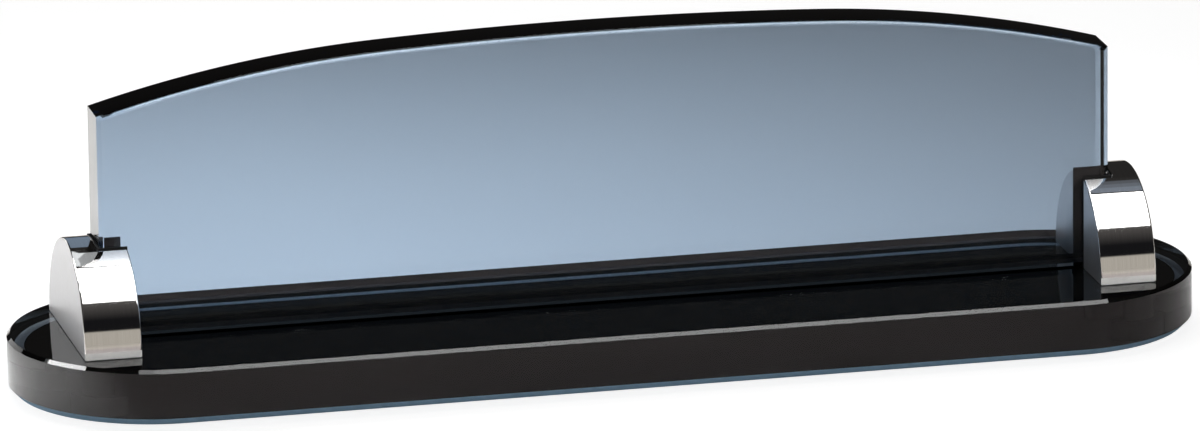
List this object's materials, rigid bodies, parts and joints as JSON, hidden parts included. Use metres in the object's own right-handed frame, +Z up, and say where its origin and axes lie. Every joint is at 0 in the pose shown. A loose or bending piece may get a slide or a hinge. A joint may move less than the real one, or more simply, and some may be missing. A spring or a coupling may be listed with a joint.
{
  "type": "desk name plate",
  "caption": "Arched smoked-glass plate that stands in slotted half-round metal supports, screwed to a round-ended glass base with felt under it.",
  "frame": {"origin": "centre of the felt's underside, on the desk", "axes": "+X along the plate to the viewer's right, +Y to the back, +Z up"},
  "size_m": [0.2666, 0.0664, 0.0754],
  "materials": {
    "plate_glass": "polished, smoked blue-grey",
    "base_glass": "polished, smoked, reads black over felt",
    "polished_metal": "mirror-polished round face with a ground foot, satin flat faces",
    "black_felt": "pressed felt",
    "black_rubber": "matt",
    "clear_silicone": "clear, a little cloudy",
    "screw_steel": "blackened",
    "black_nylon": "moulded"
  },
  "bodies": {
    "stand": {"base_slab": "base_glass", "base_felt": "black_felt", "left_support": "polished_metal", "right_support": "polished_metal", "left_support_gasket": "clear_silicone", "right_support_gasket": "clear_silicone", "left_slot_liner": "black_rubber", "right_slot_liner": "black_rubber", "left_seat_pad": "black_rubber", "right_seat_pad": "black_rubber", "left_front_screw": "screw_steel", "left_back_screw": "screw_steel", "right_front_screw": "screw_steel", "right_back_screw": "screw_steel", "left_front_screw_bush": "black_nylon", "left_back_screw_bush": "black_nylon", "right_front_screw_bush": "black_nylon", "right_back_screw_bush": "black_nylon"},
    "plate": {"name_plate": "plate_glass"}
  },
  "joints": [
    {"name": "plate_lift", "type": "slide", "parent": "stand", "child": "plate", "axis": [0, 0, 1], "range_m": [0, 0.025]}
  ]
}
